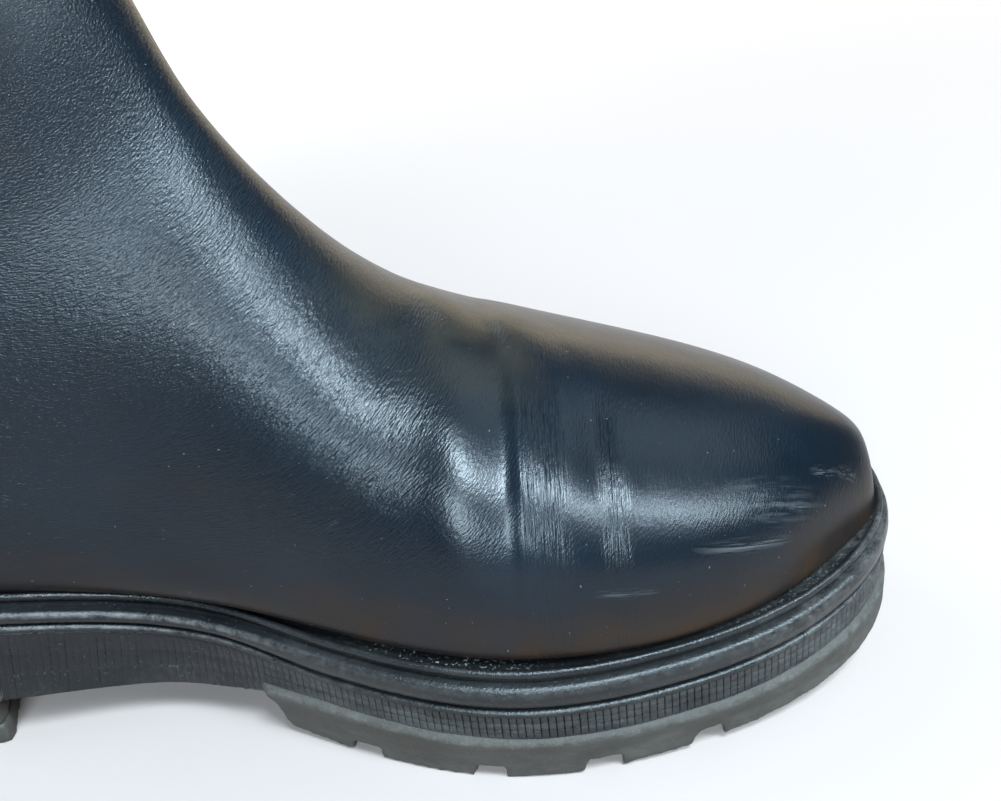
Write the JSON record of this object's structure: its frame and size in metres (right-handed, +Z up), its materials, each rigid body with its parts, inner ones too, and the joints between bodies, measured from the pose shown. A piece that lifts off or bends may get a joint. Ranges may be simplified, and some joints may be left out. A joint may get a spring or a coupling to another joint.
{
  "type": "chelsea boot",
  "caption": "Ankle-high pull-on leather boot with elastic side gores, a rear pull loop and a thick grooved lug sole with a ribbed sidewall.",
  "frame": {"origin": "on the ground under the middle of the sole's length and width", "axes": "+X towards the toe, +Z up, the inner (medial) side of this left boot faces -Y"},
  "size_m": [0.2849, 0.1079, 0.2208],
  "materials": {
    "upper_leather": "smooth satin, fine grain",
    "lining_leather": "undyed, matt",
    "lining_textile": "brushed weave",
    "elastic": "ribbed elastic web",
    "tape": "woven tape",
    "thread": "bonded thread",
    "tread_rubber": "matt moulded",
    "sidewall_rubber": "satin moulded",
    "steel": "plain",
    "board": "pressed fibre board",
    "felt": "needled felt",
    "stiffener": "thermoplastic sheet"
  },
  "bodies": {
    "boot": {"outsole": "tread_rubber", "heel_block": "tread_rubber", "heel_top_piece": "tread_rubber", "midsole": "sidewall_rubber", "welt": "sidewall_rubber", "heel_nails": "steel", "insole_board": "board", "shank": "steel", "forepart_filler": "felt", "rear_filler": "board", "sock_lining": "lining_leather", "heel_pad": "lining_leather", "vamp": "upper_leather", "quarter_medial": "upper_leather", "quarter_lateral": "upper_leather", "back_strip": "upper_leather", "gore_medial": "elastic", "gore_lateral": "elastic", "topline_binding": "tape", "toe_puff": "stiffener", "heel_counter": "stiffener", "vamp_interlining": "felt", "vamp_lining": "lining_textile", "quarter_lining": "lining_leather", "pull_tab_ends": "tape", "gore_stitching": "thread", "side_seam_stitching": "thread", "topline_stitching": "thread", "back_strip_stitching": "thread"},
    "pull_loop": {"pull_tab": "tape"}
  },
  "joints": [
    {"name": "pull_tab_swing", "type": "hinge", "parent": "boot", "child": "pull_loop", "pos_m": [-0.1263, 0, 0.1945], "axis": [0, 1, 0], "range_deg": [-75, 75], "stiffness_Nm_per_rad": 0.002}
  ]
}
